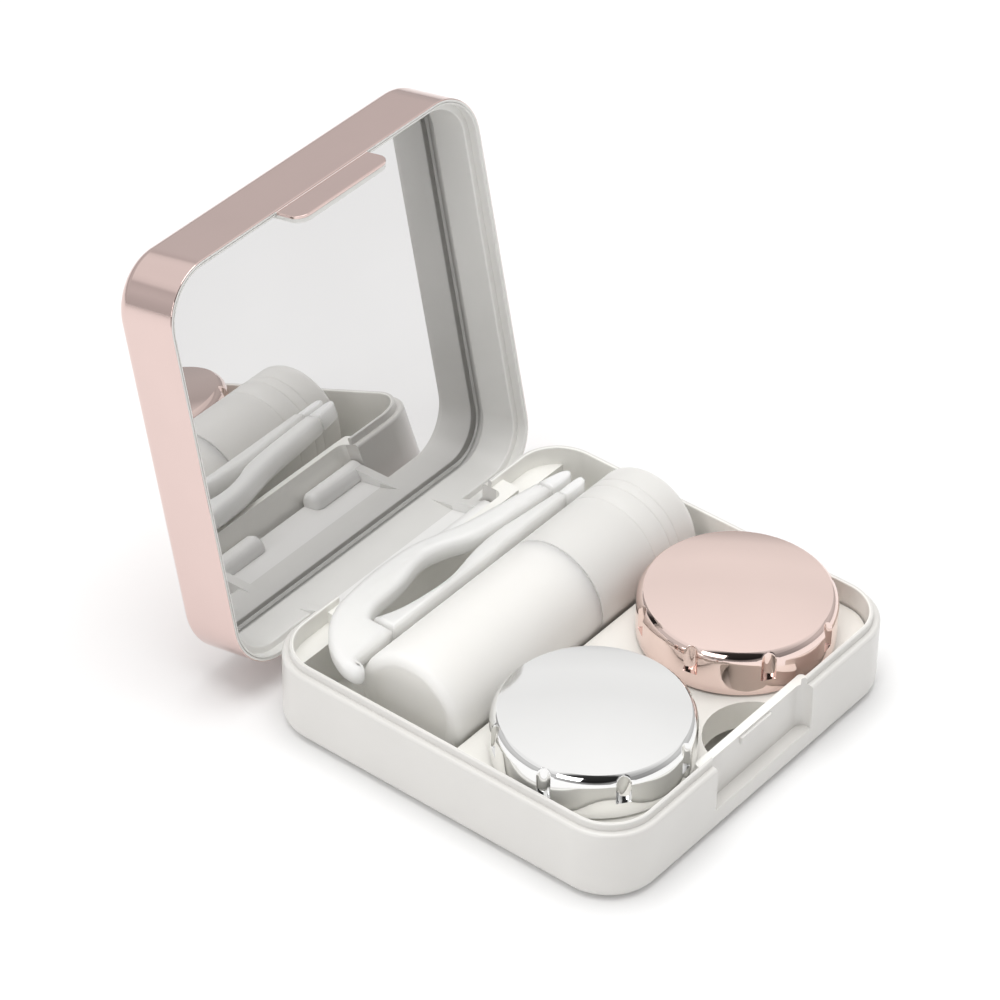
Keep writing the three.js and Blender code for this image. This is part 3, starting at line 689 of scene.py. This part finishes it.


# The arms' outlines start from points picked on the photo and placed by a fitted camera, then rounded
# and adjusted.
rear_arm = [(TIP_X, 23.5)]
rear_arm += spline([
    (TIP_X, 23.5), (13.4, 24.5), (8.1, 25.3), (4.5, 26), (0, 27.4), (-4, 28.5), (-9.6, 28.9),
    (-14.8, 28.7), (-20.7, 27.9), (-24.9, 25.9), (-28, 22.9), (-29.8, 19.6), (-30.1, 17),
    (-29.2, 15.9), (-28.3, 16.5), (-27.8, 18.3),
])[1:]
rear_arm += [(-20, 18.3), (-20, 22.3)]
rear_arm += spline([
    (-20, 22.3), (-17.5, 23.5), (-11, 24.1), (-5, 25.2), (-0.7, 24.3), (3.4, 22.5), (9.8, 21.5),
    (TIP_X, 20.9),
])[1:]
front_arm = [(-19.7, 18.3), (TIP_X, 18.3), (TIP_X, 19.8)]
front_arm += spline([
    (TIP_X, 19.8), (12, 20.4), (6.4, 20.9), (1, 20.6), (-5.5, 19.5), (-11, 19.7), (-16, 20.5),
    (-19.7, 21.9),
])[1:]
rear_tip = spline([(TIP_X + 0.3, 20.9), (23.2, 20.9), (24.3, 21.5), (23.3, 22.5), (TIP_X + 0.3, 23.4)])
front_tip = spline([(TIP_X + 0.3, 18.3), (23.4, 18.3), (24.2, 19), (23.6, 19.7), (TIP_X + 0.3, 19.8)])
flat_piece("rear_arm_look", rear_arm, ARM_LOW, ARM_HIGH, 1.1, milky, "tweezers", "tweezers_rear_arm")
flat_piece("front_arm_look", front_arm, ARM_LOW, ARM_HIGH, 0.6, milky, "tweezers_front",
           "tweezers_front_arm")
flat_piece("rear_tip_look", rear_tip, ARM_LOW + TIP_STEP, ARM_HIGH - TIP_STEP, 0.5, soft_clear, "tweezers",
           "tweezers_rear_tip")
flat_piece("front_tip_look", front_tip, ARM_LOW + TIP_STEP, ARM_HIGH - TIP_STEP, 0.4, soft_clear,
           "tweezers_front", "tweezers_front_tip")

# ---------------------------------------------------------------- carried-over CAD nodes


def dress(node, material, angle=30):
    """Keeps a CAD node, with a better material and smooth curved walls."""
    obj = frame["nodes"][node]
    obj.data.materials.clear()
    obj.data.materials.append(material)
    weld = obj.modifiers.new("weld", "WELD")
    weld.merge_threshold = SAME_SEAM
    for polygon in obj.data.polygons:
        polygon.use_smooth = True
    split = obj.modifiers.new("split", "EDGE_SPLIT")
    split.split_angle = math.radians(angle)


for kept_node, kept_material in (
    ("lens_case_body", case_white), ("hinge_pin_left", steel), ("hinge_pin_right", steel),
    ("mirror_adhesive_pad", foam), ("left_cap_seal", soft_seal), ("right_cap_seal", soft_seal),
    ("bottle_dropper_plug", soft_clear), ("bottle_cap_seal", soft_seal),
):
    dress(kept_node, kept_material)

# ---------------------------------------------------------------- floor, light and camera

SIDE = 3.0  # m
FLOOR_DROP = 0.00002  # m, keeps the floor clear of the tray's underside
floor_mesh = bpy.data.meshes.new("floor")
floor_corners = [(-SIDE, -SIDE, 0), (SIDE, -SIDE, 0), (SIDE, SIDE, 0), (-SIDE, SIDE, 0)]
floor_mesh.from_pydata(floor_corners, [], [(0, 1, 2, 3)])
floor = add_object("floor", floor_mesh)
floor.location.z = -FLOOR_DROP
floor_mesh.materials.append(shade("floor_paper", (0.93, 0.93, 0.93), 0.9, tint=0.004, bump=0.0))

world = bpy.data.worlds.new("studio")
bpy.context.scene.world = world
world.use_nodes = True
sky_nodes, sky_links = world.node_tree.nodes, world.node_tree.links
background = sky_nodes["Background"]
direction = sky_nodes.new("ShaderNodeTexCoord")
split_xyz = sky_nodes.new("ShaderNodeSeparateXYZ")
sky_links.new(direction.outputs["Generated"], split_xyz.inputs["Vector"])
height_ramp = sky_nodes.new("ShaderNodeValToRGB")
SKY = (  # (place on the ramp, brightness)
    (0.0, 0.55), (0.15, 0.6), (0.3, 0.68), (0.38, 0.66), (0.45, 0.6), (0.485, 0.86), (0.55, 0.94),
    (0.62, 0.92), (0.8, 1.06), (1.0, 1.12),
)
for _ in range(len(SKY) - 2):
    height_ramp.color_ramp.elements.new(0.5)
for element, (place, _) in zip(height_ramp.color_ramp.elements, SKY):
    element.position = place
for element, (_, level) in zip(height_ramp.color_ramp.elements, SKY):
    element.color = (level, level * 0.995, level * 0.99, 1)
sky_links.new(split_xyz.outputs["Z"], height_ramp.inputs["Fac"])


def shadowed(color, place, outer, inner, level):
    """Darkens the sky towards one direction, between two cosines of the angle from it."""
    toward = sky_nodes.new("ShaderNodeVectorMath")
    toward.operation = "DOT_PRODUCT"
    toward.inputs[1].default_value = Vector(place).normalized()
    sky_links.new(direction.outputs["Generated"], toward.inputs[0])
    edge = sky_nodes.new("ShaderNodeMapRange")
    edge.interpolation_type = "SMOOTHSTEP"
    edge.inputs["From Min"].default_value = outer
    edge.inputs["From Max"].default_value = inner
    edge.inputs["To Min"].default_value = 1.0
    edge.inputs["To Max"].default_value = level
    sky_links.new(toward.outputs["Value"], edge.inputs["Value"])
    darken = sky_nodes.new("ShaderNodeVectorMath")
    darken.operation = "SCALE"
    sky_links.new(color, darken.inputs[0])
    sky_links.new(edge.outputs["Result"], darken.inputs["Scale"])
    return darken.outputs["Vector"]


# a dim side at the front, and a dark stand in it that the caps' shoulders reflect
dim_front = shadowed(height_ramp.outputs["Color"], (-0.45, -0.75, 0.2), 0.3, 0.95, 0.5)
with_stand = shadowed(dim_front, (-0.613, -0.485, 0.624), 0.83, 0.93, 0.05)
sky_links.new(with_stand, background.inputs["Color"])
background.inputs["Strength"].default_value = 1.0


def softbox(name, place, aim, width, height, power):
    """A rectangular light turned to the point it aims at."""
    light = bpy.data.lights.new(name, "AREA")
    light.shape = "RECTANGLE"
    light.size, light.size_y = width, height
    light.energy = power
    obj = add_object(name, light)
    obj.location = place
    obj.rotation_euler = (Vector(aim) - Vector(place)).to_track_quat("-Z", "Y").to_euler()


softbox("key", (0.0, 0.05, 1.0), (0, 0, 0), 0.7, 0.7, 4.2)
softbox("left", (-0.85, -0.2, 0.5), (0, 0.02, 0.02), 0.4, 0.4, 1.9)

CAMERA_PLACE = Vector((-0.39204, -0.29480, 0.42676))
CAMERA_AIM = Vector((-0.00743, 0.00939, 0.03552))
CAMERA_ROLL = math.radians(0.865)
SENSOR_WIDTH, FOCAL_LENGTH = 36, 163.48  # mm
CLIP_START = 0.01  # m
camera_data = bpy.data.cameras.new("camera")
camera_data.sensor_width = SENSOR_WIDTH
camera_data.lens = FOCAL_LENGTH
camera_data.clip_start = CLIP_START
camera = add_object("camera", camera_data)
camera.location = CAMERA_PLACE
look = (CAMERA_AIM - CAMERA_PLACE).to_track_quat("-Z", "Y").to_matrix()
camera.rotation_euler = (look @ Matrix.Rotation(CAMERA_ROLL, 3, "Z")).to_euler()
bpy.context.scene.camera = camera
bpy.context.scene.view_settings.view_transform = "Standard"
